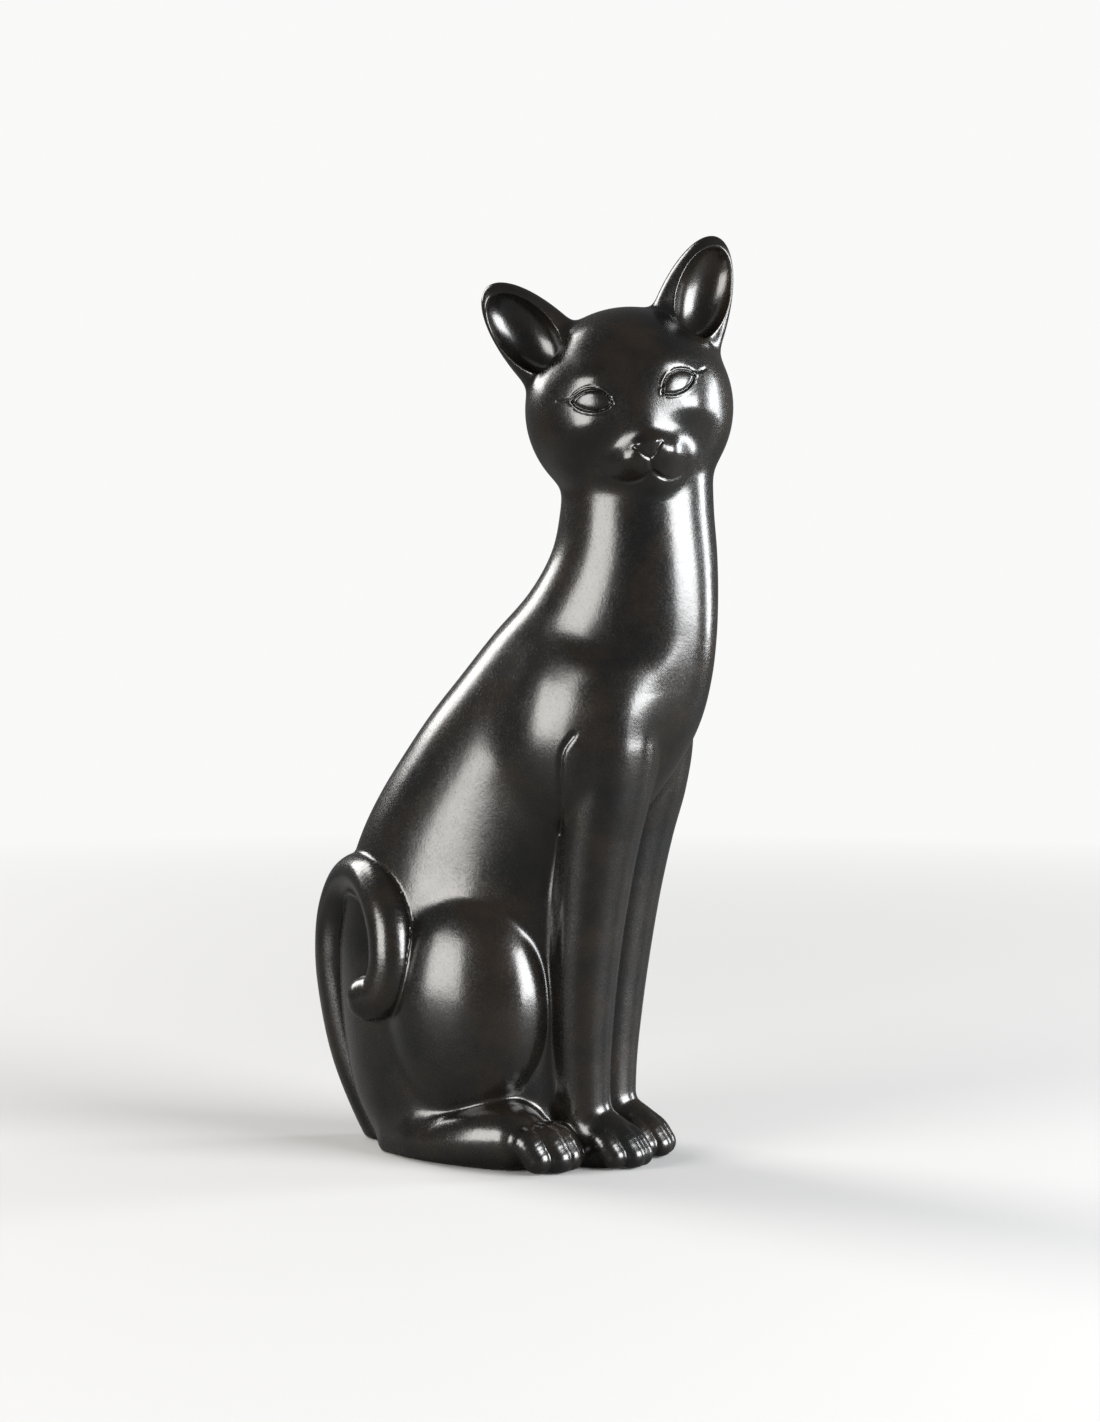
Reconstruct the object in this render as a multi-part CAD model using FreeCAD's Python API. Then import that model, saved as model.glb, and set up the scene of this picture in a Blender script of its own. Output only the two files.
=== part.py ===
"""Seated ceramic cat, 295 mm tall, head turned to its right, tail curled on the right haunch.

Frame: millimetres, +Z up, the cat faces -Y and its right side is -X. The origin is on the
ground, under the middle of the figurine's box. Every piece is one luted component of the
hollow casting, and neighbours meet face to face.
"""
import FreeCAD, Part
import math
import os

from FreeCAD import Matrix, Placement, Rotation, Vector

# ---- driving dimensions ---------------------------------------------------------------
WALL = 5.0            # thickness of the cast shell

# Trunk sections: height, back edge (y), front edge (y), half width
TRUNK = (
    (0, 45.8, -25.7, 23.5),
    (16, 54.3, -28.7, 28),
    (33, 58.3, -29.2, 30),
    (50, 60.3, -30.2, 30),
    (66, 60.5, -31.2, 29.5),
    (80, 58.8, -33.2, 28.6),
    (93, 56.3, -36.2, 27.4),
    (105, 51.8, -41.7, 26.8),
    (117, 45.3, -49.7, 26.6),
    (129, 37.3, -57.7, 26.8),
    (142, 27.8, -64.2, 26.8),
    (155, 16.8, -67.7, 26),
    (169, 4.8, -69.4, 24.8),
    (182, -7.5, -69.7, 23.8),
    (195, -15.5, -69.2, 23.2),
    (208, -18.7, -68, 23),
    (226, -19.2, -67.2, 23.2),
)

HAUNCH_AT, HAUNCH_R = (21, 6.3, 50.5), (17, 27.2, 37.7)
SHOULDER_AT, SHOULDER_R = (18.8, -29.5, 141), (14.5, 22, 26.5)

# Left front leg from shoulder to ankle: (x, y, z), radius
FRONT_LEG = (
    ((12, -41, 152), 12),
    ((14.6, -40, 137), 15.2),
    ((14.2, -39.2, 119), 14.4),
    ((13.3, -36.4, 104), 13),
    ((13, -34, 88), 11.9),
    ((12.5, -31.4, 66), 10.8),
    ((11.8, -30, 46), 9.7),
    ((10.9, -29.8, 28), 8.5),
    ((10.3, -30.4, 14), 8),
    ((10.3, -32, 0), 7.6),
)
PAW_AT, PAW_R = (10.5, -39, 7.5), (10.6, 13.8, 10.2)

# The front legs' luting joint: upright behind the legs, then sloping forward to the chest
LEG_JOINT_Y = -23.2
LEG_JOINT_TURN_Z = 98.0
LEG_JOINT_SLOPE = -0.88

SOLE_AT, SOLE_R = (26.9, 5, 7), (11, 33, 11)
INSTEP_AT, INSTEP_R = (23.5, -8, 11), (12, 13, 12.5)
TOES_AT, TOES_R = (27.2, -21, 7.5), (12.1, 15.2, 10.8)

HEAD_AT = (0, -40.6, 240.6)
HEAD_R = (33.3, 33.3, 32.4)
HEAD_TURN = 61.5      # degrees, to the cat's right
HEAD_TILT = 12.5      # degrees, crown towards the cat's right
MUZZLE_AT, MUZZLE_R = (0, -20.5, -13), (16.5, 15.5, 11.5)
CHIN_AT, CHIN_R = (0, -16.8, -22), (10.5, 12.2, 8)
DRAIN_R = 9.0         # hole between head and neck cavities

EAR_BASE = (21.0, -2.0, 20.0)
EAR_SHIFT = 1.3       # both ears sit this far towards the cat's left
EAR_LEAN = 31.0       # degrees outwards from the head's up axis
EAR_R = (12.6, 7.8, 31.6)
EAR_CUP_AT, EAR_CUP_R = (1.9, -9.2, 12.2), (9.1, 12.0, 16.2)

TAIL_R = 7.8
TAIL_PATH = (
    (4, 42.3, -6), (4, 52.8, 12), (4, 59.8, 28), (4, 63.8, 44), (4, 65.8, 60), (3, 64.3, 74.5),
    (-1.5, 58.5, 84.5), (-9.5, 49.5, 89), (-18.5, 40.5, 88), (-26, 33, 81), (-29.6, 29.2, 71),
    (-30.2, 29.2, 61),
)
TAIL_TIP_AT, TAIL_TIP_R = (-28.4, 34.8, 53.5), (8.6, 11.2, 9.6)

PLATE_THICK = 5.0
PLATE_MIDDLE_Y, PLATE_HALF_LENGTH, PLATE_HALF_WIDTH = 10.26, 29.0, 15.0
VENT_R = 4.0
CAVITY_FOOT_Z = 26.0  # level where the cavity has widened to the wall thickness

BLOCK = 400.0         # side of the cutting blocks, larger than the whole cat
BLOCK_DROP = 40.0     # how far the cutting blocks reach below the ground


def ellipse_wire(x_radius, y_radius, y_centre, z):
    """Horizontal ellipse, its long axis along Y."""
    curve = Part.Ellipse(Vector(0, 0, 0), y_radius, x_radius)
    edge = curve.toShape()
    edge.Placement = Placement(Vector(0, y_centre, z), Rotation(Vector(0, 0, 1), 90))
    return Part.Wire([edge])


def loft(sections):
    """Smooth solid through rows of height, back, front, half width."""
    wires = []
    for z, back, front, half_width in sections:
        wires.append(ellipse_wire(half_width, (back - front) / 2, (back + front) / 2, z))
    return Part.makeLoft(wires, True, False)


def ellipsoid(centre, radii):
    """Ellipsoid with its axes along X, Y and Z."""
    stretch = Matrix()
    stretch.scale(*radii)
    shape = Part.makeSphere(1.0).transformGeometry(stretch)
    shape.translate(Vector(*centre))
    return shape


def below_ground():
    """Block that trims everything under the ground plane."""
    return Part.makeBox(BLOCK, BLOCK, BLOCK_DROP, Vector(-BLOCK / 2, -BLOCK / 2, -BLOCK_DROP))


def mirrored(shape):
    """The same shape on the cat's other side."""
    return shape.mirror(Vector(0, 0, 0), Vector(1, 0, 0))


def shifted(ear):
    """An ear moved by the small offset that both ears share."""
    moved = ear.copy()
    moved.translate(Vector(EAR_SHIFT, 0, 0))
    return moved


def pair(shape):
    """A left-side shape fused with its mirror image."""
    return shape.fuse(mirrored(shape))


def make_trunk():
    """Outer form of the body without the front legs."""
    haunch = ellipsoid(HAUNCH_AT, HAUNCH_R)
    shoulder = ellipsoid(SHOULDER_AT, SHOULDER_R)
    return loft(TRUNK).multiFuse([pair(haunch), pair(shoulder)]).cut(below_ground())


def make_front_leg():
    """Left front leg with its paw, as a full form that runs up into the chest."""
    wires = []
    for centre, radius in FRONT_LEG:
        wires.append(Part.Wire([Part.makeCircle(radius, Vector(*centre), Vector(0, 0, 1))]))
    leg = Part.makeLoft(wires, True, False)
    return leg.fuse(ellipsoid(PAW_AT, PAW_R)).cut(below_ground())


def make_leg_region():
    """Everything in front of and below the front legs' luting joint."""
    low, far, side = -BLOCK_DROP, -BLOCK / 2, BLOCK / 2
    far_z = LEG_JOINT_TURN_Z + LEG_JOINT_SLOPE * (far - LEG_JOINT_Y)
    corners = [(LEG_JOINT_Y, low), (LEG_JOINT_Y, LEG_JOINT_TURN_Z), (far, far_z), (far, low)]
    outline = Part.makePolygon([Vector(-side, y, z) for y, z in corners + corners[:1]])
    return Part.Face(outline).extrude(Vector(2 * side, 0, 0))


def side_block(side):
    """Block that holds one half of the cat; side is 1 for its left, -1 for its right."""
    near_x = min(0, side * BLOCK / 2)
    return Part.makeBox(BLOCK / 2, BLOCK, BLOCK, Vector(near_x, -BLOCK / 2, -BLOCK_DROP))


def make_cavity():
    """Hollow inside the trunk: the outer form less the wall, narrowed to the plate at the foot."""
    plate_back = PLATE_MIDDLE_Y + PLATE_HALF_LENGTH
    plate_front = PLATE_MIDDLE_Y - PLATE_HALF_LENGTH
    sections = [(0, plate_back, plate_front, PLATE_HALF_WIDTH)]
    sections.append((PLATE_THICK, plate_back, plate_front, PLATE_HALF_WIDTH))
    for z, back, front, half_width in TRUNK:
        if z > CAVITY_FOOT_Z:
            front_wall = WALL
            if z < LEG_JOINT_TURN_Z:
                front_wall = max(WALL, LEG_JOINT_Y + WALL - front)
            sections.append((z, back - WALL, front + front_wall, half_width - WALL))
    return loft(sections)


def make_foot():
    """Left hind foot, flat underneath."""
    sole, instep, toes = ellipsoid(SOLE_AT, SOLE_R), ellipsoid(INSTEP_AT, INSTEP_R), ellipsoid(TOES_AT, TOES_R)
    return sole.multiFuse([instep, toes]).cut(below_ground())


def make_tail():
    """Rolled coil of clay with a rounded tip."""
    path = Part.BSplineCurve()
    path.interpolate([Vector(*point) for point in TAIL_PATH])
    start = path.parameter(Vector(*TAIL_PATH[0]))
    ring = Part.Wire([Part.makeCircle(TAIL_R, path.value(start), path.tangent(start)[0])])
    coil = Part.Wire([path.toShape()]).makePipeShell([ring], True, False)
    return coil.fuse(ellipsoid(TAIL_TIP_AT, TAIL_TIP_R)).cut(below_ground())


def turn_head(shape):
    """Move a shape from the head's own axes to its place on the neck."""
    posed = shape.copy()
    posed.rotate(Vector(0, 0, 0), Vector(0, 1, 0), -HEAD_TILT)
    posed.rotate(Vector(0, 0, 0), Vector(0, 0, 1), -HEAD_TURN)
    posed.translate(Vector(*HEAD_AT))
    return posed


def make_head():
    """Hollow head, with the drain hole that opens into the neck."""
    skull = ellipsoid((0, 0, 0), HEAD_R)
    face = ellipsoid(MUZZLE_AT, MUZZLE_R).fuse(ellipsoid(CHIN_AT, CHIN_R))
    return turn_head(skull.fuse(face))


def make_head_cavity():
    """Inside of the head and its drain hole."""
    inside = turn_head(ellipsoid((0, 0, 0), [radius - WALL for radius in HEAD_R]))
    drain = Part.makeCylinder(DRAIN_R, HEAD_R[2] + WALL, Vector(*HEAD_AT), Vector(0, 0, -1))
    return inside.fuse(drain)


def make_ear():
    """Left ear in the head's own axes: a rounded leaf, hollowed at the front."""
    leaf = ellipsoid((0, 0, 0), EAR_R)
    leaf = leaf.cut(ellipsoid(EAR_CUP_AT, EAR_CUP_R))
    leaf.rotate(Vector(0, 0, 0), Vector(0, 1, 0), EAR_LEAN)
    leaf.translate(Vector(*EAR_BASE))
    return leaf


def make_plate():
    """Flat closing plate with the kiln vent hole."""
    outline = ellipse_wire(PLATE_HALF_WIDTH, PLATE_HALF_LENGTH, PLATE_MIDDLE_Y, 0)
    plate = Part.Face(outline).extrude(Vector(0, 0, PLATE_THICK))
    return plate.cut(Part.makeCylinder(VENT_R, PLATE_THICK, Vector(0, PLATE_MIDDLE_Y, 0)))


def largest_solid(shape):
    """The piece itself, without any crumbs that a cut leaves."""
    return max(shape.Solids, key=lambda solid: solid.Volume)


def make_pieces():
    """All ten pieces, in the modelling frame."""
    trunk, leg_region, skull = make_trunk(), make_leg_region(), make_head()
    body = trunk.fuse(pair(make_front_leg()))
    left_half, right_half = side_block(1), side_block(-1)
    feet = pair(make_foot())
    front = body.common(leg_region)
    ear = make_ear()
    return {
        "torso": body.cut(leg_region).cut(make_cavity()).cut(feet).cut(skull),
        "head": skull.cut(make_head_cavity()),
        "ear_left": turn_head(shifted(ear)).cut(skull),
        "ear_right": turn_head(shifted(mirrored(ear))).cut(skull),
        "front_leg_left": front.common(left_half).cut(feet),
        "front_leg_right": front.common(right_half).cut(feet),
        "hind_foot_left": feet.common(left_half),
        "hind_foot_right": feet.common(right_half),
        "tail": make_tail().cut(trunk),
        "base_plate": make_plate(),
    }


os.makedirs("parts", exist_ok=True)
pieces = {name: largest_solid(shape) for name, shape in make_pieces().items()}
box = Part.makeCompound(list(pieces.values())).optimalBoundingBox(False, False)
centring = Vector(-(box.XMin + box.XMax) / 2, -(box.YMin + box.YMax) / 2, -box.ZMin)
for name, piece in pieces.items():
    piece.translate(centring)
    piece.exportStep("parts/" + name + ".step")
    print(name, "valid", piece.isValid(), "closed", piece.isClosed(), "volume_mm3", round(piece.Volume))
print("box", round(box.XLength, 2), round(box.YLength, 2), round(box.ZLength, 2), "moved", centring)
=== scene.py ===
"""Seated black ceramic cat, sculpted as one smooth form and divided into its luted pieces.

Lengths in the sculpt are millimetres in the CAD frame: +Z up, the cat faces -Y, its right is -X.
Paired parts are given for the cat's right side and mirrored. Each form is a signed distance,
negative inside. Forms are blended, meshed piece by piece, cut at the luting joints, and scaled
to metres when the mesh is made.
"""
import math
from concurrent.futures import ThreadPoolExecutor

import bmesh
import bpy
import numpy as np
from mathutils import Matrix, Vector


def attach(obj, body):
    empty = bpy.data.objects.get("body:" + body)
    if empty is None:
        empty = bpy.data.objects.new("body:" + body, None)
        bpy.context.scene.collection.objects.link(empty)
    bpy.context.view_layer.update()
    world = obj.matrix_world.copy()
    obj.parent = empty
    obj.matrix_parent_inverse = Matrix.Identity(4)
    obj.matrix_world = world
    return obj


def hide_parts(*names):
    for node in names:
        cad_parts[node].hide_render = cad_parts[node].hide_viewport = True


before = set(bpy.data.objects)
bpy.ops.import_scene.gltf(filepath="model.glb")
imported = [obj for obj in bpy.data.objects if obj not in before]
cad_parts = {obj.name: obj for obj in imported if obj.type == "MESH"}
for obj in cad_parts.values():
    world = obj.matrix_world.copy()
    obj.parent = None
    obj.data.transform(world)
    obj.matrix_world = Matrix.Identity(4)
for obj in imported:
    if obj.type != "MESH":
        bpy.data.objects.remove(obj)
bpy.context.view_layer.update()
MM = 0.001
FAR = 1e3                 # farther than any point of the figurine
COARSE = 1.0
GROUND_ROUND = 2.2        # radius of the edge between the sides and the flat underside

# ---- body ------------------------------------------------------------------------------
# Trunk sections: height, back edge (y), front edge (y), half width
TRUNK = (
    (-12, 37, -20, 20), (0, 45.8, -25.7, 23.5), (16, 54.3, -28.7, 28), (33, 58.3, -29.2, 30),
    (50, 60.3, -30.2, 30), (66, 60.5, -31.2, 29.5), (80, 58.8, -33.2, 28.6), (93, 56.3, -36.2, 27.4),
    (105, 51.8, -41.7, 26.8), (117, 45.3, -49.7, 26.6), (129, 37.3, -57.7, 26.8), (142, 27.8, -64.2, 26.8),
    (155, 16.8, -67.7, 26), (169, 4.8, -69.4, 24.8), (182, -7.5, -69.7, 23.8), (195, -15.5, -69.2, 23.2),
    (208, -18.7, -68, 23), (226, -19.2, -67.2, 23.2), (245, -19.5, -66, 23),
)
TRUNK_TOP = 240.0         # inside the head
HAUNCH_AT, HAUNCH_R, HAUNCH_BLEND = (-21, 6.3, 50.5), (16.8, 27, 37.5), 3.6
SHOULDER_AT, SHOULDER_R, SHOULDER_BLEND = (-18.4, -30.0, 138), (14.2, 22, 29), 12.0
ELBOW_AT, ELBOW_R, ELBOW_BLEND = (-25.5, -29.0, 128.5), (4.6, 4.0, 9.0), 3.0

# Crease behind each elbow, seen from the side: (y, height)
ELBOW_CREASE = ((-35.4, 139), (-31.9, 134), (-30.8, 128), (-30.4, 122), (-29, 115), (-26.6, 107))
CREASE_DEPTH, CREASE_WIDTH = 0.6, 0.9

# Front leg sections: height, middle (x, y), radius
LEG = (
    (4, -10.3, -31.6, 7.6), (14, -10.3, -30.4, 8.0), (28, -10.9, -29.8, 8.5), (46, -11.8, -30.0, 9.7),
    (66, -12.7, -31.4, 10.8), (88, -13.4, -34.0, 11.9), (104, -14.0, -36.4, 13.0), (119, -14.6, -39.2, 14.2),
    (137, -14.6, -40.6, 15.2), (152, -12, -42, 13),
)
LEG_TOP = 158.0           # inside the chest
LEG_CREASE = 1.8          # blend along the leg's edges at mid height
MELT_ABOVE = (13, 134, 152)    # extra blend into the shoulder, and the heights where it starts and is full
MELT_BELOW = (6, 106, 84)      # the same, downwards, into the edge of the belly
LEG_NEAR = (184, 4)       # the leg's forms are looked at only below this height and ahead of this y
PAW_AT, PAW_R, PAW_BLEND = (-10.4, -36.5, 7.0), (9.4, 10.5, 10.5), 5.0

# Hind foot: middle line from inside the rump to the ball of the foot, and its radii
FOOT_LINE = ((-16, 33, 3.0), (-22.5, 18, 5.5), (-26.4, 3, 8.0), (-27.7, -12, 9.6))
FOOT_R = (6.0, 8.6, 10.0, 10.4)
INSTEP_AT, INSTEP_R, INSTEP_BLEND = (-23.0, -7, 9.5), (11.5, 14, 11.5), 8.0

# Toes: (x, front end y, radius) of each; then where they spring from, how much they fan out there,
# the knuckle's distance behind the tip and its height, the tip's height and the knuckle's extra radius
FRONT_TOES = ((-16.8, -43.0, 4.1), (-12.6, -47.4, 4.4), (-8.2, -48.0, 4.4), (-4.3, -45.0, 3.9))
FRONT_TOE_SHAPE = ((-10.5, -35, 10.5), 0.6, 3.5, 8.6, 4.4, 0.2)
HIND_TOES = ((-33.7, -24.0, 4.7), (-29.2, -29.0, 5.0), (-24.4, -30.4, 4.8), (-20.3, -28.4, 4.3))
HIND_TOE_SHAPE = ((-27, -15, 10.5), 0.7, 4, 9.6, 4.8, 0.3)
TOE_ROOT_R, TOE_BLEND = 3.6, 1.0

# Tail centre line from the ground behind the rump, over the top and down onto the haunch
TAIL_PATH = (
    (4, 42.3, -6), (4, 52.8, 12), (4, 59.8, 28), (4, 63.8, 44), (4, 65.8, 60), (3.0, 64.3, 74.5),
    (-1.5, 58.5, 84.5), (-9.5, 49.5, 89.0), (-18.5, 40.5, 88.0), (-26, 33.0, 81), (-29.6, 29.2, 71),
    (-30.2, 29.2, 61), (-29.0, 32.6, 53.5), (-27.6, 38.0, 51.5),
)
TAIL_R = (7.8, 7.8, 7.8, 7.8, 7.8, 7.8, 7.8, 7.8, 7.8, 7.7, 7.6, 7.6, 7.7, 7.6)

# ---- head, in its own axes: +X the cat's left, -Y the face, +Z the crown ------------------
HEAD_AT = np.array((0, -40.6, 240.6))
HEAD_TURN, HEAD_TILT = 61.5, 12.5
SKULL_R = (33.0, 33.0, 32.2)
MUZZLE_AT, MUZZLE_R, MUZZLE_BLEND = (0, -19.2, -14.2), (14.0, 14.8, 10.0), 8.0
CHIN_AT, CHIN_R, CHIN_BLEND = (0, -16.5, -22.5), (9.5, 11.8, 6.8), 5.0
NECK_BLEND = 4.5
EAR_BASE, EAR_LEAN, EAR_R = (-21.0, -2.0, 20.0), 31.0, (12.3, 7.6, 31.5)
EAR_SHIFT = 1.3           # both ears sit this far to the cat's left of the head's middle
EAR_BLEND = 5.0
CUP_AT, CUP_R, CUP_RIM = (-1.9, -6.0, 13.6), (9.0, 8.6, 15.6), 1.1     # in the ear's own axes
EAR_CUT = 11.0            # the ear's luting joint, this far along it from its base
NECK_CUT_Z = 204.0

# Eye: middle (x, z), slant in degrees, half length, heights of the upper and lower lids
EYE_AT, EYE_TILT, EYE_HALF, EYE_UP, EYE_DOWN = (-13.7, 4.6), 14.7, 5.7, 3.7, 2.5
EYEBALL_HEIGHT = 0.95

# Swellings (+) and hollows (-) of the face: height, middle (x, z), size (x, z)
PAIRED_RELIEF = (
    (1.5, (-12.6, 13.2), (8.5, 5.2)),      # brow
    (-1.7, (-15.0, -12.0), (8.0, 7.5)),    # hollow of the cheek
    (1.0, (-17.5, -3.5), (6.0, 5.0)),      # cheekbone
    (0.6, (-2.9, -10.8), (1.6, 1.3)),      # wing of the nose
    (1.6, (-7.2, -14.8), (4.6, 4.2)),      # whisker pad
)
MIDDLE_RELIEF = (
    (0.7, (0, -3), (5.5, 9)),              # bridge of the nose
    (1.6, (0, -11), (3.8, 3.2)),           # tip of the nose
    (-0.35, (-0.3, -12.9), (2.4, 1.5)),    # leather of the nose
)

# Tooled lines on the face: points (x, z)
LID = ((-7.6, 2.6), (-9.5, 6.4), (-13.2, 9.6), (-17.5, 8.8), (-20.6, 6.9), (-23.6, 7.2))
NOSE = ((-4.4, -11.6), (-0.4, -15.6), (4.0, -11.8))
LIP_CLEFT = ((-0.4, -15.6), (-0.4, -19.6))
MOUTH_RIGHT = ((-0.4, -19.6), (-3.4, -21.3), (-7.4, -21.7), (-11.4, -20.2), (-14.6, -17.4), (-15.8, -15.2))
MOUTH_LEFT = ((-0.4, -19.6), (2.4, -22.3), (5.5, -23.6), (8.8, -23.0), (11.2, -21.0), (12.4, -18.8))

# Fillets where the tail and the hind feet are luted on
HIDDEN = 0.03             # fillets end this far under the piece that they run up to
TAIL_FILLET, TAIL_FILLET_REACH = 1.6, 1.0
FOOT_FILLET, FOOT_FILLET_REACH = 3.6, 0.92     # the reach is a share of the fillet's width
HEEL_WIDENING, HEEL_FROM_Y, HEEL_TO_Y = 9.0, 6.0, 26.0
PLATE_AT_Y, PLATE_R, PLATE_THICK = 10.26, (15.0, 29.0), 5.0

# Luting joint of the front legs: upright behind the legs, then sloping up to the chest
LEG_JOINT_Y, LEG_JOINT_Z, LEG_JOINT_SLOPE = -23.2, 98.0, -0.88

# Box that each piece is meshed in, and the size of its cells
TORSO_BOX, TORSO_CELL = ((-42, -76, -4), (42, 70, 212)), 0.86
HEAD_BOX, HEAD_CELL = ((-42, -80, 199), (42, 4, 300)), 0.50
TAIL_BOX, TAIL_CELL = ((-40, 20, -4), (16, 78, 100)), 0.5
EAR_RISE, EAR_BOX_HALF, EAR_CELL = 10, 21, 0.42      # the box's middle is this far above the ear's joint
LEG_CELL, FOOT_CELL = 0.5, 0.45


def about_y(degrees):
    """Rotation matrix about the Y axis."""
    c, s = math.cos(math.radians(degrees)), math.sin(math.radians(degrees))
    return np.array(((c, 0, s), (0, 1, 0), (-s, 0, c)))


def about_z(degrees):
    """Rotation matrix about the Z axis."""
    c, s = math.cos(math.radians(degrees)), math.sin(math.radians(degrees))
    return np.array(((c, -s, 0), (s, c, 0), (0, 0, 1)))


HEAD_AXES = about_z(-HEAD_TURN) @ about_y(-HEAD_TILT)
EAR_AXES = about_y(-EAR_LEAN)


# ---- form functions --------------------------------------------------------------------
def smooth_min(a, b, k):
    """Union of two forms with a blend about k wide."""
    h = np.maximum(k - np.abs(a - b), 0) / k
    return np.minimum(a, b) - h * h * h * k / 6


def smooth_max(a, b, k):
    """Intersection of two forms with a rounded edge."""
    return -smooth_min(-a, -b, k)


def step(x, low, high):
    """Smooth ramp from 0 at low to 1 at high."""
    t = np.clip((x - low) / (high - low), 0, 1)
    return t * t * (3 - 2 * t)


def ellipsoid(p, centre, radii):
    """Ellipsoid with its axes along the frame's."""
    q = p - np.array(centre)
    r = np.array(radii, float)
    k0 = np.sqrt(((q / r) ** 2).sum(1))
    k1 = np.sqrt(((q / (r * r)) ** 2).sum(1))
    return k0 * (k0 - 1) / np.maximum(k1, 1e-6)


def curve_through(keys, rows, t):
    """Smooth curve through rows of values given at keys, read at t."""
    keys, rows = np.asarray(keys, float), np.asarray(rows, float)
    gap = np.diff(keys)
    rise = np.diff(rows, axis=0) / gap[:, None]
    slope = np.empty_like(rows)
    slope[0], slope[-1] = rise[0], rise[-1]
    slope[1:-1] = (rise[:-1] * gap[1:, None] + rise[1:] * gap[:-1, None]) / (gap[1:] + gap[:-1])[:, None]
    t = np.clip(t, keys[0], keys[-1])
    i = np.clip(np.searchsorted(keys, t, side="right") - 1, 0, len(keys) - 2)
    h = gap[i][:, None]
    s = (t - keys[i])[:, None] / h
    value = (2 * s ** 3 - 3 * s ** 2 + 1) * rows[i] + (s ** 3 - 2 * s ** 2 + s) * h * slope[i]
    return value + (3 * s ** 2 - 2 * s ** 3) * rows[i + 1] + (s ** 3 - s ** 2) * h * slope[i + 1]


def tube(p, path, radii, parts):
    """Round rod of changing radius along a smooth path, in straight parts."""
    path = np.asarray(path, float)
    radii = np.broadcast_to(np.asarray(radii, float), len(path))
    length = np.r_[0, np.cumsum(np.linalg.norm(np.diff(path, axis=0), axis=1))]
    rows = curve_through(length, np.c_[path, radii], np.linspace(0, length[-1], parts))
    path, radii = rows[:, :3], rows[:, 3]
    d = np.full(len(p), FAR)
    for a, b, ra, rb in zip(path[:-1], path[1:], radii[:-1], radii[1:]):
        along = b - a
        rel = p - a
        h = np.clip(rel @ along / (along @ along), 0, 1)
        gap = rel - h[:, None] * along
        d = np.minimum(d, np.sqrt((gap * gap).sum(1)) - (ra + (rb - ra) * h))
    return d


def ridge(distance, width):
    """Bell-shaped profile across a line."""
    return np.exp(-(distance / width) ** 2)


def right_side(p):
    """Points folded onto the cat's right side."""
    q = p.copy()
    q[:, 0] = -np.abs(q[:, 0])
    return q


# ---- body forms ------------------------------------------------------------------------
def trunk(p):
    """Neck, back and rump as elliptical sections."""
    rows = np.array(TRUNK, float)
    v = curve_through(rows[:, 0], rows[:, 1:], p[:, 2])
    half, width = (v[:, 0] - v[:, 1]) / 2, v[:, 2]
    x, y = p[:, 0], p[:, 1] - (v[:, 0] + v[:, 1]) / 2
    k0 = np.sqrt((x / width) ** 2 + (y / half) ** 2)
    k1 = np.sqrt((x / width ** 2) ** 2 + (y / half ** 2) ** 2)
    return np.maximum(k0 * (k0 - 1) / np.maximum(k1, 1e-6), p[:, 2] - TRUNK_TOP)


def toe_row(q, toes, shape):
    """Toes of one foot, fanning out from where they spring."""
    root, fan, knuckle_back, knuckle_z, tip_z, swell = shape
    form = np.full(len(q), FAR)
    for x, front, radius in toes:
        start = (root[0] + fan * (x - root[0]), root[1], root[2])
        path = (start, (x, front + knuckle_back, knuckle_z), (x, front, tip_z))
        toe = tube(q, path, (TOE_ROOT_R, radius + swell, radius), 12)
        form = smooth_min(form, toe, TOE_BLEND)
    return form


def front_leg(q):
    """Leg and paw of one side."""
    rows = np.array(LEG, float)
    v = curve_through(rows[:, 0], rows[:, 1:], q[:, 2])
    leg = np.hypot(q[:, 0] - v[:, 0], q[:, 1] - v[:, 1]) - v[:, 2]
    leg = smooth_max(leg, q[:, 2] - LEG_TOP, 8)
    leg = smooth_min(leg, ellipsoid(q, PAW_AT, PAW_R), PAW_BLEND)
    return smooth_min(leg, toe_row(q, FRONT_TOES, FRONT_TOE_SHAPE), 2.0)


def hind_foot(q):
    """Long hind foot of one side, rising to its instep and toes."""
    foot = tube(q, FOOT_LINE, FOOT_R, 50)
    foot = smooth_min(foot, ellipsoid(q, INSTEP_AT, INSTEP_R), INSTEP_BLEND)
    return smooth_min(foot, toe_row(q, HIND_TOES, HIND_TOE_SHAPE), 2.2)


def body(p):
    """Trunk, haunches, shoulders and front legs."""
    q = right_side(p)
    form = smooth_min(trunk(p), ellipsoid(q, HAUNCH_AT, HAUNCH_R), HAUNCH_BLEND)
    form = smooth_min(form, ellipsoid(q, SHOULDER_AT, SHOULDER_R), SHOULDER_BLEND)
    near = np.flatnonzero((q[:, 2] < LEG_NEAR[0]) & (q[:, 1] < LEG_NEAR[1]))
    q = q[near]
    z = q[:, 2]
    leg = smooth_min(front_leg(q), ellipsoid(q, ELBOW_AT, ELBOW_R), ELBOW_BLEND)
    blend = LEG_CREASE + MELT_ABOVE[0] * step(z, MELT_ABOVE[1], MELT_ABOVE[2])
    blend += MELT_BELOW[0] * step(-z, -MELT_BELOW[1], -MELT_BELOW[2])
    form[near] = smooth_min(form[near], leg, blend)
    crease = tube(q * (0, 1, 1), [(0, y, height) for y, height in ELBOW_CREASE], 0, 24)
    form[near] += CREASE_DEPTH * ridge(crease, CREASE_WIDTH) * step(-q[:, 0], 14, 20)
    return form


def tail(p):
    """The tail, without the fillet at its sides."""
    return tube(p, TAIL_PATH, TAIL_R, 100)


# ---- head forms ------------------------------------------------------------------------
def to_head(p):
    """Points in the head's axes."""
    return (p - HEAD_AT) @ HEAD_AXES


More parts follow.
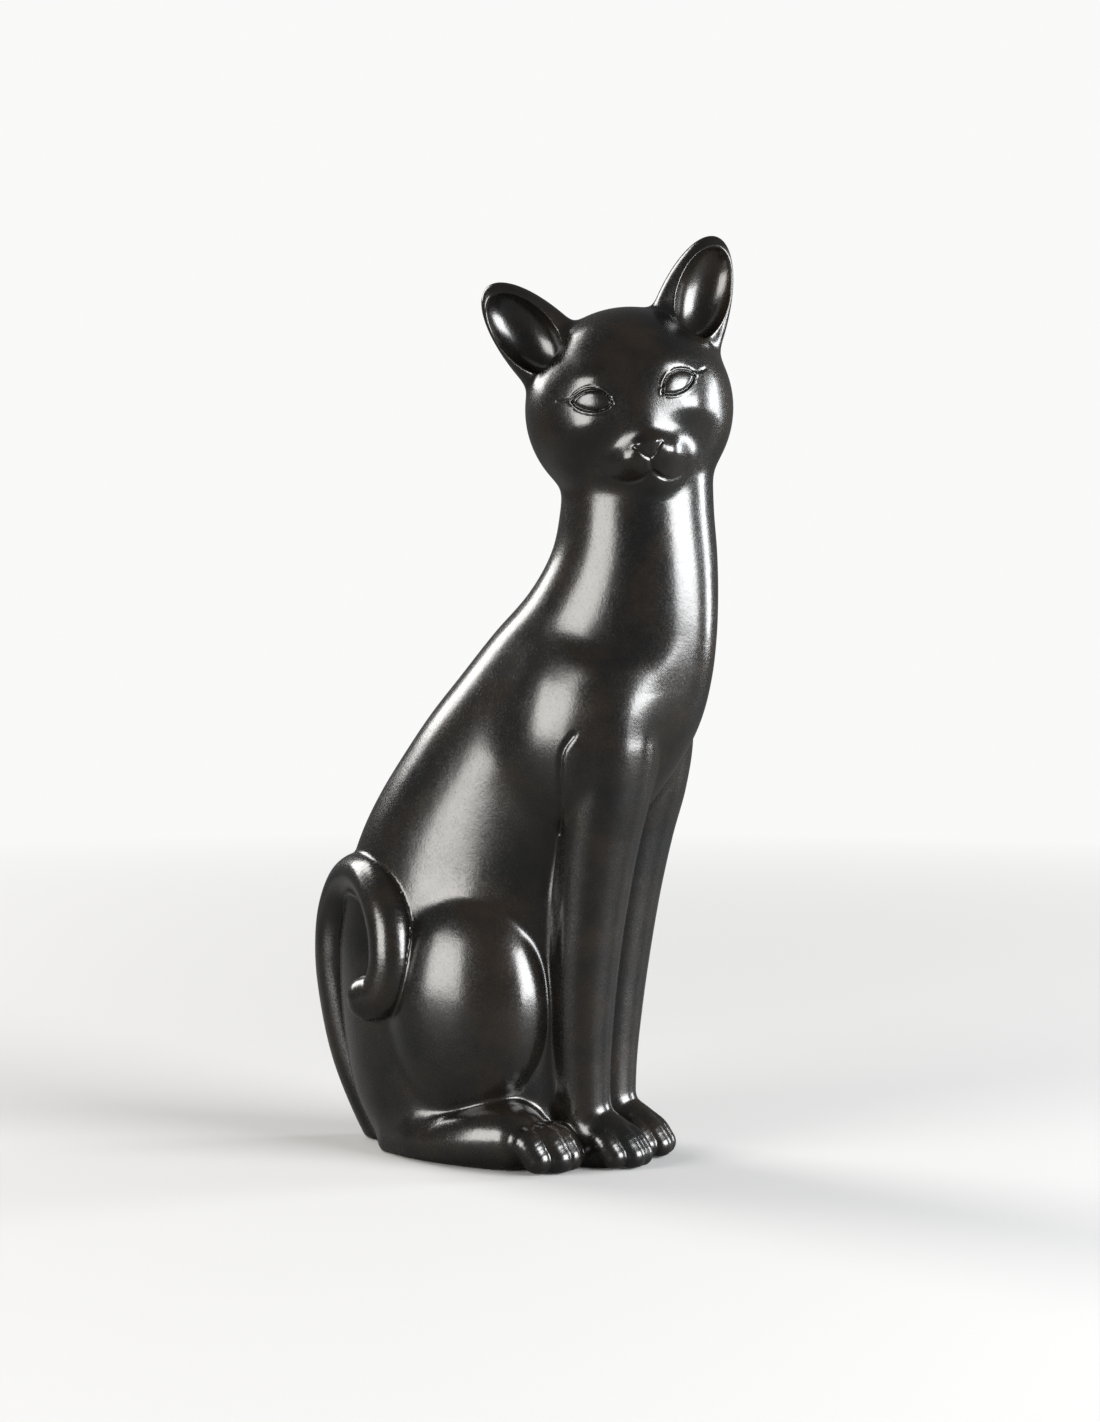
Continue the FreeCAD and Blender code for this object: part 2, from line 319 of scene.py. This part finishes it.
def line_distance(x, z, points):
    """Distance from a line drawn in the plane of the face."""
    level = np.zeros(len(x))
    path = [(px, 0, pz) for px, pz in points]
    return tube(np.c_[x, level, z], path, 0, 6 * len(path))


def eye_shape(x, z):
    """Signed distance to the eye's outline in the plane of the face, and the eyeball's dome, 0 to 1."""
    a = math.radians(EYE_TILT)
    dx, dz = x - EYE_AT[0], z - EYE_AT[1]
    s = dx * math.cos(a) - dz * math.sin(a)
    t = dx * math.sin(a) + dz * math.cos(a)
    inside = np.clip(1 - (s / EYE_HALF) ** 2, 0, 1) ** 0.75
    edge = np.maximum(t - EYE_UP * inside, -EYE_DOWN * inside - t)
    slope = 1 + 0.35 * (s / EYE_HALF) ** 2
    beyond = np.sqrt(np.maximum(np.abs(s) - EYE_HALF, 0) ** 2 + t ** 2)
    outline = np.where(np.abs(s) < EYE_HALF, edge / slope, np.maximum(beyond, edge / slope))
    half = np.maximum(inside * (EYE_UP + EYE_DOWN) / 2, 0.05)
    across = (t - inside * (EYE_UP - EYE_DOWN) / 2) / half
    return outline, np.clip(1 - across ** 2, 0, 1) ** 0.4 * inside ** 0.6


def bump(x, z, at, size):
    """Soft round swelling of unit height, in the plane of the face."""
    return np.exp(-((x - at[0]) / size[0]) ** 2 - ((z - at[1]) / size[1]) ** 2)


def face_relief(x, z):
    """How far the modelled face stands proud of the plain skull."""
    m = -np.abs(x)
    lift = np.zeros(len(x))
    for height, at, size in PAIRED_RELIEF:
        lift += height * bump(m, z, at, size)
    for height, at, size in MIDDLE_RELIEF:
        lift += height * bump(x, z, at, size)
    eye, dome = eye_shape(m, z)
    lift += EYEBALL_HEIGHT * dome
    lift -= 0.45 * ridge(eye, 0.40)             # line round the eyeball
    lift += 0.24 * ridge(eye - 0.9, 0.5)        # lid
    lift -= 0.24 * ridge(line_distance(m, z, LID), 0.42)
    return lift


def tooled_lines(x, z):
    """Depth of the lines of the nose and mouth."""
    mouth = np.minimum(line_distance(x, z, MOUTH_RIGHT), line_distance(x, z, MOUTH_LEFT))
    mouth = np.minimum(mouth, line_distance(x, z, LIP_CLEFT))
    fading = 0.14 + 0.30 * step(-np.abs(x), -15, -4)
    return fading * ridge(mouth, 0.75) + 0.40 * ridge(line_distance(x, z, NOSE), 0.55)


def head(q):
    """Skull and face in the head's axes, without the ears."""
    form = ellipsoid(q, (0, 0, 0), SKULL_R)
    form = smooth_min(form, ellipsoid(q, MUZZLE_AT, MUZZLE_R), MUZZLE_BLEND)
    form = smooth_min(form, ellipsoid(q, CHIN_AT, CHIN_R), CHIN_BLEND)
    x, z = q[:, 0], q[:, 2]
    on_face = step(-q[:, 1], 6, 14)
    return form + (tooled_lines(x, z) - face_relief(x, z)) * on_face


def ear_frame(q):
    """Points in the axes of the ear on their side."""
    shifted = q - np.array((EAR_SHIFT, 0, 0))
    return (right_side(shifted) - np.array(EAR_BASE)) @ EAR_AXES


def head_and_ears(p):
    """The whole head in world axes."""
    q = to_head(p)
    e = ear_frame(q)
    leaf = ellipsoid(e, (0, 0, 0), EAR_R)
    form = smooth_min(head(q), leaf, EAR_BLEND)
    return smooth_max(form, -ellipsoid(e, CUP_AT, CUP_R), CUP_RIM)


def cat(p):
    """Everything but the tail and the hind feet."""
    form = body(p)
    near = p[:, 2] > 190
    if near.any():
        form[near] = smooth_min(form[near], head_and_ears(p[near]), NECK_BLEND)
    return form


def with_fillet(form, other, width, reach):
    """A form that swells up to meet another, ending just under the other's surface."""
    return np.maximum(smooth_min(form, other + HIDDEN, width), form - reach)


def seated_cat(p):
    """The cat with fillets where the tail and the hind feet are luted on."""
    form = cat(p)
    near = (p[:, 1] > 15) & (p[:, 2] < 105)
    if near.any():
        form[near] = with_fillet(form[near], tail(p[near]), TAIL_FILLET, TAIL_FILLET_REACH)
    near = p[:, 2] < 32
    if near.any():
        width = FOOT_FILLET + HEEL_WIDENING * step(p[near, 1], HEEL_FROM_Y, HEEL_TO_Y)
        foot = hind_foot(right_side(p[near]))
        form[near] = with_fillet(form[near], foot, width, FOOT_FILLET_REACH * width)
    return smooth_max(form, -p[:, 2], GROUND_ROUND)


def torso_form(p):
    """The seated cat, recessed underneath for the base plate."""
    x, y = p[:, 0], p[:, 1] - PLATE_AT_Y
    plate = np.sqrt((x / PLATE_R[0]) ** 2 + (y / PLATE_R[1]) ** 2) - 1
    plate = np.maximum(plate * PLATE_R[0], p[:, 2] - PLATE_THICK)
    return np.maximum(seated_cat(p), -plate)


def seated_tail(p):
    """The tail, cut off flat at the ground."""
    return smooth_max(tail(p), -p[:, 2], GROUND_ROUND)


def seated_foot(p):
    """A hind foot, cut off flat at the ground."""
    return smooth_max(hind_foot(right_side(p)), -p[:, 2], GROUND_ROUND)


# ---- meshing ---------------------------------------------------------------------------
WORKERS = ThreadPoolExecutor(4)
BATCH = 30000             # points measured at a time
BLOCK = 4                 # fine cells along one side of a coarse block


def measure(form, p):
    """Form values at many points, worked out in parallel."""
    return np.concatenate(list(WORKERS.map(form, np.array_split(p, len(p) // BATCH + 1))))


def in_blocks(coarse):
    """Each value of a coarse grid repeated over its block of fine ones."""
    for axis in range(3):
        coarse = np.repeat(coarse, BLOCK, axis)
    return coarse


def sample(form, low, high, cell):
    """Form values on a grid, exact near the surface and only signed elsewhere."""
    count = np.ceil((high - low) / cell).astype(int) + 1
    count += (-(count - 1)) % BLOCK
    axes = [low[i] + cell * np.arange(count[i]) for i in range(3)]
    corners = [a[::BLOCK] for a in axes]
    points = np.stack(np.meshgrid(*corners, indexing="ij"), -1).reshape(-1, 3)
    rough = measure(form, points).reshape([len(a) for a in corners])
    lowest, highest = rough.copy(), rough.copy()
    for axis in range(3):
        a, b = [slice(None)] * 3, [slice(None)] * 3
        a[axis], b[axis] = slice(0, -1), slice(1, None)
        lowest = np.minimum(lowest[tuple(a)], lowest[tuple(b)])
        highest = np.maximum(highest[tuple(a)], highest[tuple(b)])
    band = BLOCK * cell * 1.6         # a block this close may hold some surface
    active = in_blocks((lowest < band) & (highest > -band))
    values = in_blocks(rough)[:count[0], :count[1], :count[2]]
    values = np.where(values < 0, -FAR, FAR)
    near = np.zeros(values.shape, bool)
    for dx in (0, 1):
        for dy in (0, 1):
            for dz in (0, 1):
                view = near[dx:dx + active.shape[0], dy:dy + active.shape[1], dz:dz + active.shape[2]]
                view |= active
    index = np.argwhere(near)
    points = np.stack([axes[i][index[:, i]] for i in range(3)], 1)
    values[near] = measure(form, points)
    return values


def surface_net(values, low, cell):
    """Vertices and outward quads of the zero surface, open where it leaves the grid."""
    inside = values < 0
    size = np.array(values.shape)
    total = np.zeros((*(size - 1), 3), np.float32)
    hits = np.zeros(tuple(size - 1), np.float32)
    for a in range(3):
        b, c = (a + 1) % 3, (a + 2) % 3
        first, second = [slice(None)] * 3, [slice(None)] * 3
        first[a], second[a] = slice(0, -1), slice(1, None)
        v0, v1 = values[tuple(first)], values[tuple(second)]
        crossing = (v0 < 0) != (v1 < 0)
        t = np.where(crossing, v0 / np.where(crossing, v0 - v1, 1), 0)
        for db in (0, 1):
            for dc in (0, 1):
                s = [slice(None)] * 3
                s[b] = slice(db, size[b] - 1 + db)
                s[c] = slice(dc, size[c] - 1 + dc)
                k = crossing[tuple(s)]
                hits += k
                total[..., a] += np.where(k, t[tuple(s)], 0)
                total[..., b] += k * db
                total[..., c] += k * dc
    used = hits > 0
    number = np.full(hits.shape, -1)
    number[used] = np.arange(used.sum())
    verts = low + (np.argwhere(used) + total[used] / hits[used][:, None]) * cell
    quads = []
    for a in range(3):
        b, c = (a + 1) % 3, (a + 2) % 3
        first, second = [slice(None)] * 3, [slice(None)] * 3
        first[a], second[a] = slice(0, -1), slice(1, None)
        starts = inside[tuple(first)]
        edge = np.argwhere(starts != inside[tuple(second)])
        across = edge[:, [b, c]]
        edge = edge[((across > 0) & (across < size[[b, c]] - 1)).all(1)]
        corner = []
        for db, dc in ((1, 1), (0, 1), (0, 0), (1, 0)):
            shifted = edge.copy()
            shifted[:, b] -= db
            shifted[:, c] -= dc
            corner.append(number[tuple(shifted.T)])
        quad = np.stack(corner, 1)
        outward = starts[tuple(edge.T)]
        quad[~outward] = quad[~outward][:, ::-1]
        quads.append(quad)
    return verts, np.concatenate(quads)


def gradient(form, p, reach=0.05):
    """Direction in which the form grows, from four points around each."""
    out = np.zeros_like(p)
    for corner in ((1, 1, 1), (1, -1, -1), (-1, 1, -1), (-1, -1, 1)):
        out += np.outer(measure(form, p + reach * np.array(corner)), corner)
    return out / (4 * reach)


def settle(form, verts, rounds):
    """Move vertices onto the surface."""
    for _ in range(rounds):
        g = gradient(form, verts)
        verts = verts - (measure(form, verts) / np.maximum((g * g).sum(1), 0.2))[:, None] * g
    return verts


def relax(verts, quads):
    """Even out the mesh: each vertex moves halfway to the middle of its neighbours."""
    total, count = np.zeros_like(verts), np.zeros(len(verts))
    for i in range(4):
        a, b = quads[:, i], quads[:, (i + 1) % 4]
        np.add.at(total, a, verts[b])
        np.add.at(total, b, verts[a])
        np.add.at(count, a, 1)
        np.add.at(count, b, 1)
    return verts + 0.5 * (total / count[:, None] - verts)


def skin(whole_form, low, high, cell):
    """Closed quad mesh of the part of a form that lies in a box."""
    low, high = np.array(low, float), np.array(high, float)
    wall_low, wall_high = low + 1.6 * cell, high - 2.6 * cell      # keep the surface inside the grid

    def form(p):
        return np.maximum(whole_form(p), np.maximum(wall_low - p, p - wall_high).max(1))

    verts, quads = surface_net(sample(form, low, high, cell), low, cell)
    verts = settle(form, relax(verts, quads), 1)
    return settle(form, relax(verts, quads), 2), quads


# ---- cutting at the joints ---------------------------------------------------------------
TOUCHING = 1e-5           # a vertex this close to a cutting plane lies on it


def cap(bm, edges):
    """Close one flat loop of edges."""
    made = bmesh.ops.triangle_fill(bm, use_beauty=True, use_dissolve=False, edges=edges)
    for part in made["geom"]:
        if isinstance(part, bmesh.types.BMFace):
            part.smooth = False


def cut(bm, point, normal):
    """Keep what lies behind a plane, and close the cut."""
    everything = list(bm.verts) + list(bm.edges) + list(bm.faces)
    made = bmesh.ops.bisect_plane(bm, geom=everything, dist=TOUCHING, plane_co=point, plane_no=normal,
                                  clear_outer=True)
    cap(bm, [e for e in made["geom_cut"] if isinstance(e, bmesh.types.BMEdge)])


def to_bmesh(verts, quads):
    """Editable mesh with smooth faces."""
    mesh = bpy.data.meshes.new("work")
    mesh.from_pydata(verts.tolist(), [], quads.tolist())
    mesh.shade_smooth()
    bm = bmesh.new()
    bm.from_mesh(mesh)
    bpy.data.meshes.remove(mesh)
    return bm


def leg_joint_height(y):
    """Height of the sloping part of the front legs' joint."""
    return LEG_JOINT_Z + LEG_JOINT_SLOPE * (y - LEG_JOINT_Y)


SLOPE_NORMAL = Vector((0, -LEG_JOINT_SLOPE, 1)).normalized()
SLOPE_POINT = Vector((0, LEG_JOINT_Y, LEG_JOINT_Z))
UPRIGHT_POINT = Vector((0, LEG_JOINT_Y, 0))


def make_front_leg(side):
    """One front leg with its half of the lower chest; side is -1 for the right leg."""
    low, high = sorted((-side * 5, side * 34))
    bm = to_bmesh(*skin(seated_cat, (low, -76, -4), (high, -17, 162), LEG_CELL * COARSE))
    cut(bm, Vector((0, 0, 0)), Vector((-side, 0, 0)))
    cut(bm, UPRIGHT_POINT, Vector((0, 1, 0)))
    cut(bm, SLOPE_POINT, SLOPE_NORMAL)
    return bm


def split(bm, point, normal, chosen):
    """Add the edges where a plane crosses the chosen faces, without removing anything."""
    faces = [f for f in bm.faces if chosen(f.calc_center_median())]
    geometry = set(faces)
    for f in faces:
        geometry.update(f.verts)
        geometry.update(f.edges)
    bmesh.ops.bisect_plane(bm, geom=list(geometry), dist=TOUCHING, plane_co=point, plane_no=normal)


def make_torso():
    """Neck, back, haunches and rump, less the front legs' share."""
    bm = to_bmesh(*skin(torso_form, *TORSO_BOX, TORSO_CELL * COARSE))
    cut(bm, Vector((0, 0, NECK_CUT_Z)), Vector((0, 0, 1)))

    def ahead(c):
        return c.y < LEG_JOINT_Y + 4 and c.z < leg_joint_height(c.y) + 6

    split(bm, UPRIGHT_POINT, Vector((0, 1, 0)), ahead)
    split(bm, SLOPE_POINT, SLOPE_NORMAL, ahead)
    gone = []
    for f in bm.faces:
        c = f.calc_center_median()
        if c.y < LEG_JOINT_Y and c.z < leg_joint_height(c.y):
            gone.append(f)
    bmesh.ops.delete(bm, geom=gone, context="FACES")
    rim = [e for e in bm.edges if e.is_boundary]
    upright = {e for e in rim if all(abs(v.co.y - LEG_JOINT_Y) < 1e-3 for v in e.verts)}
    ends = {v for e in upright for v in e.verts}
    corners = [v for v in ends if abs(v.co.z - LEG_JOINT_Z) < 2e-3]
    bridge = [bm.edges.new(corners)] if len(corners) == 2 else []
    cap(bm, list(upright) + bridge)
    cap(bm, [e for e in rim if e not in upright] + bridge)
    return bm


def make_head():
    """Head with the top of the neck, up to the ears' joints."""
    bm = to_bmesh(*skin(seated_cat, *HEAD_BOX, HEAD_CELL * COARSE))
    cut(bm, Vector((0, 0, NECK_CUT_Z)), Vector((0, 0, -1)))
    for side in (-1, 1):
        point, axis = ear_joint(side)
        cut(bm, point, axis)
    return bm


def ear_joint(side):
    """Point and direction of an ear's joint in world axes; side is -1 for the right ear."""
    axis = EAR_AXES @ np.array((0, 0, 1))
    base = np.array(EAR_BASE) + EAR_CUT * axis
    base[0] = -side * base[0] + EAR_SHIFT
    axis[0] = -side * axis[0]
    return Vector(HEAD_AXES @ base + HEAD_AT), Vector(HEAD_AXES @ axis)


def make_ear(side):
    """One ear above its joint."""
    point, axis = ear_joint(side)
    middle = np.array(point) + EAR_RISE * np.array(axis)
    bm = to_bmesh(*skin(seated_cat, middle - EAR_BOX_HALF, middle + EAR_BOX_HALF, EAR_CELL * COARSE))
    cut(bm, point, -axis)
    return bm


def make_tail():
    """The whole tail, which no joint cuts."""
    return to_bmesh(*skin(seated_tail, *TAIL_BOX, TAIL_CELL * COARSE))


def make_hind_foot(side):
    """One whole hind foot; side is -1 for the right foot."""
    low, high = sorted((side * 12, side * 42))
    return to_bmesh(*skin(seated_foot, (low, -44, -4), (high, 40, 24), FOOT_CELL * COARSE))


def add_piece(name, bm, form, replaced):
    """Turn a mesh in millimetres into a finished piece in metres."""
    bmesh.ops.dissolve_degenerate(bm, dist=1e-4, edges=bm.edges[:])
    bmesh.ops.recalc_face_normals(bm, faces=bm.faces[:])
    mesh = bpy.data.meshes.new(name)
    bm.to_mesh(mesh)
    bm.free()
    co = np.empty(len(mesh.vertices) * 3)
    mesh.vertices.foreach_get("co", co)
    co = co.reshape(-1, 3)
    normals = gradient(form, co, 0.04)
    normals /= np.linalg.norm(normals, axis=1, keepdims=True)
    corner = np.empty(len(mesh.loops), int)
    mesh.loops.foreach_get("vertex_index", corner)
    smooth = np.empty(len(mesh.polygons), bool)
    mesh.polygons.foreach_get("use_smooth", smooth)
    sides = np.empty(len(mesh.polygons), int)
    mesh.polygons.foreach_get("loop_total", sides)
    curved = np.repeat(smooth, sides)
    mesh.vertices.foreach_set("co", (co * MM).ravel())
    # A zero vector leaves the flat caps their own normals
    mesh.normals_split_custom_set(np.where(curved[:, None], normals[corner], 0.0))
    mesh.update()
    piece = bpy.data.objects.new(name, mesh)
    bpy.context.collection.objects.link(piece)
    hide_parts(replaced)
    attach(piece, "root")
    return piece


# ---- materials -------------------------------------------------------------------------
class Nodes:
    """A material's node tree, built step by step."""

    def __init__(self, name):
        self.material = bpy.data.materials.new(name)
        self.material.use_nodes = True
        self.tree = self.material.node_tree
        self.tree.nodes.clear()

    def add(self, kind, inputs=None, **settings):
        """A node with its settings and inputs; an input that is a socket is linked."""
        node = self.tree.nodes.new(kind)
        for key, value in settings.items():
            setattr(node, key, value)
        for key, value in (inputs or {}).items():
            if isinstance(value, bpy.types.NodeSocket):
                self.tree.links.new(value, node.inputs[key])
            else:
                node.inputs[key].default_value = value
        return node

    def noise(self, where, scale, detail=2.0, roughness=0.5):
        """Noise value; scale is in features per millimetre."""
        inputs = {"Vector": where, "Scale": scale, "Detail": detail, "Roughness": roughness}
        return self.add("ShaderNodeTexNoise", inputs).outputs["Fac"]

    def spread(self, value, low, high, start=0.0, end=1.0):
        """Map a value's range to another, clamped."""
        node = self.add("ShaderNodeMapRange", {"Value": value, "From Min": low, "From Max": high,
                                               "To Min": start, "To Max": end})
        return node.outputs["Result"]

    def mix(self, factor, first, second):
        """Blend of two colours."""
        return self.add("ShaderNodeMix", {0: factor, 6: first, 7: second}, data_type="RGBA").outputs[2]

    def plus(self, first, second):
        """Sum of two values."""
        return self.add("ShaderNodeMath", {0: first, 1: second}, operation="ADD").outputs[0]

    def millimetres(self):
        """Position on the object in millimetres."""
        where = self.add("ShaderNodeTexCoord").outputs["Object"]
        return self.add("ShaderNodeVectorMath", {0: where, 3: 1000.0}, operation="SCALE").outputs[0]

    def bump(self, height, distance, normal=None):
        """Raised surface, distance in millimetres at full height."""
        inputs = {"Height": height, "Distance": distance * MM, "Strength": 1.0}
        if normal is not None:
            inputs["Normal"] = normal
        return self.add("ShaderNodeBump", inputs).outputs[0]

    def finish(self, shader):
        """The material with this shader on its surface."""
        self.add("ShaderNodeOutputMaterial", {"Surface": shader})
        return self.material


def glaze():
    """Near-black satin glaze with a pebbled surface, wiped off the parts that it stands on."""
    n = Nodes("black_glaze")
    where = n.millimetres()
    cloud = n.noise(where, 0.05, 4.0, 0.6)
    grain = n.noise(where, 1.3, 3.0, 0.62)
    peel = n.noise(where, 0.28, 2.0)
    black, brown = (0.0036, 0.0035, 0.0034, 1), (0.0115, 0.0085, 0.0058, 1)
    colour = n.mix(n.spread(cloud, 0.40, 0.68), black, brown)
    rough = n.spread(grain, 0.3, 0.7, 0.17, 0.29)
    worn = n.spread(n.noise(where, 0.12, 5.0, 0.7), 0.45, 0.75, 0.0, 0.06)
    rough = n.plus(rough, worn)
    normal = n.bump(grain, 0.030, n.bump(peel, 0.035))
    skin_shader = n.add("ShaderNodeBsdfPrincipled", {
        "Base Color": colour, "Roughness": rough, "IOR": 1.52, "Normal": normal,
        "Coat Weight": 0.25, "Coat Roughness": 0.14, "Coat Normal": normal})
    clay = n.mix(grain, (0.36, 0.28, 0.21, 1), (0.52, 0.43, 0.34, 1))
    bare = n.add("ShaderNodeBsdfPrincipled", {
        "Base Color": clay, "Roughness": 0.85, "Normal": n.bump(grain, 0.08)})
    height = n.add("ShaderNodeSeparateXYZ", {0: where}).outputs["Z"]
    edge = n.plus(height, n.spread(peel, 0.3, 0.7, -0.15, 0.15))
    wiped = n.spread(edge, 0.25, 0.35, 1.0, 0.0)
    both = n.add("ShaderNodeMixShader", {0: wiped, 1: skin_shader.outputs[0], 2: bare.outputs[0]})
    return n.finish(both.outputs[0])


def bare_clay():
    """Ground bisque of the base plate."""
    n = Nodes("bare_clay")
    where = n.millimetres()
    cloud, grain = n.noise(where, 0.12, 4.0), n.noise(where, 2.2, 4.0, 0.7)
    colour = n.mix(n.spread(cloud, 0.35, 0.65), (0.50, 0.41, 0.32, 1), (0.60, 0.52, 0.43, 1))
    speckle = n.spread(n.noise(where, 1.1, 1.0), 0.68, 0.74)
    colour = n.mix(speckle, colour, (0.22, 0.16, 0.12, 1))
    rough = n.spread(grain, 0.3, 0.7, 0.75, 0.92)
    shader = n.add("ShaderNodeBsdfPrincipled", {
        "Base Color": colour, "Roughness": rough, "Normal": n.bump(grain, 0.12)})
    return n.finish(shader.outputs[0])


def floor_paint():
    """Plain pale studio floor that fades into the backdrop's tone."""
    n = Nodes("studio_floor")
    where = n.add("ShaderNodeTexCoord").outputs["Object"]
    distance = n.add("ShaderNodeVectorMath", {0: where}, operation="LENGTH").outputs["Value"]
    seen = n.add("ShaderNodeLightPath").outputs["Is Camera Ray"]
    tone = n.mix(seen, (0.13, 0.13, 0.13, 1), (0.60, 0.60, 0.597, 1))
    paint = n.add("ShaderNodeBsdfPrincipled", {"Base Color": tone, "Roughness": 0.7})
    glow = n.add("ShaderNodeEmission", {"Color": n.mix(seen, AMBIENT, BACKDROP), "Strength": 1.0})
    fade = n.spread(distance, 0.25, 1.0)
    both = n.add("ShaderNodeMixShader", {0: fade, 1: paint.outputs[0], 2: glow.outputs[0]})
    return n.finish(both.outputs[0])


# ---- studio ----------------------------------------------------------------------------
BACKDROP = (0.95, 0.95, 0.945, 1)
AMBIENT = (0.12, 0.12, 0.122, 1)
LOOK_AT = Vector((0.0055, -0.0107, 0.1435))
CAMERA_TURN, CAMERA_RISE, CAMERA_AWAY, LENS = -66.0, 4.0, 1.150, 90.0
# name: turn and rise in degrees, distance, width and height in metres, watts, colour
SOFTBOXES = {
    "left_box": (-119, 6, 1.30, 0.76, 0.84, 24.0, (1.0, 0.975, 0.94)),
    "right_box": (-6, 6, 1.30, 0.86, 0.96, 56.0, (0.98, 0.99, 1.0)),
    "right_rim": (43, 4, 1.30, 0.32, 0.90, 15.0, (0.95, 0.98, 1.0)),
    "back_rim": (165, 33, 1.30, 0.50, 0.90, 14.0, (1.0, 0.98, 0.95)),
}


def seen_from(turn_degrees, rise_degrees, away):
    """Place at a distance from the point that is looked at."""
    a, e = math.radians(turn_degrees), math.radians(rise_degrees)
    return LOOK_AT + away * Vector((math.sin(a) * math.cos(e), -math.cos(a) * math.cos(e), math.sin(e)))


def aim(thing):
    """Turn a lamp or camera to face the figurine."""
    thing.rotation_euler = (LOOK_AT - thing.location).to_track_quat("-Z", "Y").to_euler()


def build_studio():
    """Camera, softboxes, floor and backdrop."""
    scene = bpy.context.scene
    lens = bpy.data.cameras.new("camera")
    lens.lens = LENS
    camera = bpy.data.objects.new("camera", lens)
    camera.location = seen_from(CAMERA_TURN, CAMERA_RISE, CAMERA_AWAY)
    aim(camera)
    scene.collection.objects.link(camera)
    scene.camera = camera
    for name, (around, rise, away, width, height, watts, colour) in SOFTBOXES.items():
        lamp = bpy.data.lights.new(name, "AREA")
        lamp.shape, lamp.size, lamp.size_y = "RECTANGLE", width, height
        lamp.energy, lamp.color = watts, colour
        box = bpy.data.objects.new(name, lamp)
        box.location = seen_from(around, rise, away)
        aim(box)
        box.visible_camera = False
        scene.collection.objects.link(box)
    world = bpy.data.worlds.new("studio")
    world.use_nodes = True
    nodes, links = world.node_tree.nodes, world.node_tree.links
    nodes.clear()
    path = nodes.new("ShaderNodeLightPath")
    mix = nodes.new("ShaderNodeMix")
    mix.data_type = "RGBA"
    mix.inputs[6].default_value, mix.inputs[7].default_value = AMBIENT, BACKDROP
    links.new(path.outputs["Is Camera Ray"], mix.inputs[0])
    background = nodes.new("ShaderNodeBackground")
    links.new(mix.outputs[2], background.inputs["Color"])
    links.new(background.outputs[0], nodes.new("ShaderNodeOutputWorld").inputs["Surface"])
    scene.world = world
    scene.view_settings.view_transform = "Standard"
    ring = bmesh.new()
    bmesh.ops.create_circle(ring, cap_ends=True, segments=96, radius=4.0)
    mesh = bpy.data.meshes.new("floor")
    ring.to_mesh(mesh)
    ring.free()
    floor = bpy.data.objects.new("floor", mesh)
    mesh.materials.append(floor_paint())
    scene.collection.objects.link(floor)


# ---- assembly --------------------------------------------------------------------------
def build_cat():
    """All the visible pieces, one for each casting."""
    made = [
        add_piece("torso_shell", make_torso(), torso_form, "torso"),
        add_piece("head_shell", make_head(), seated_cat, "head"),
        add_piece("tail_coil", make_tail(), seated_tail, "tail"),
    ]
    for side, hand in ((-1, "right"), (1, "left")):
        made += [
            add_piece("ear_" + hand + "_leaf", make_ear(side), seated_cat, "ear_" + hand),
            add_piece("front_leg_" + hand + "_cast", make_front_leg(side), seated_cat, "front_leg_" + hand),
            add_piece("hind_foot_" + hand + "_cast", make_hind_foot(side), seated_foot, "hind_foot_" + hand),
        ]
    coat = glaze()
    for piece in made:
        piece.data.materials.append(coat)
    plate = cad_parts["base_plate"]
    plate.data.materials.clear()
    plate.data.materials.append(bare_clay())


build_studio()
build_cat()
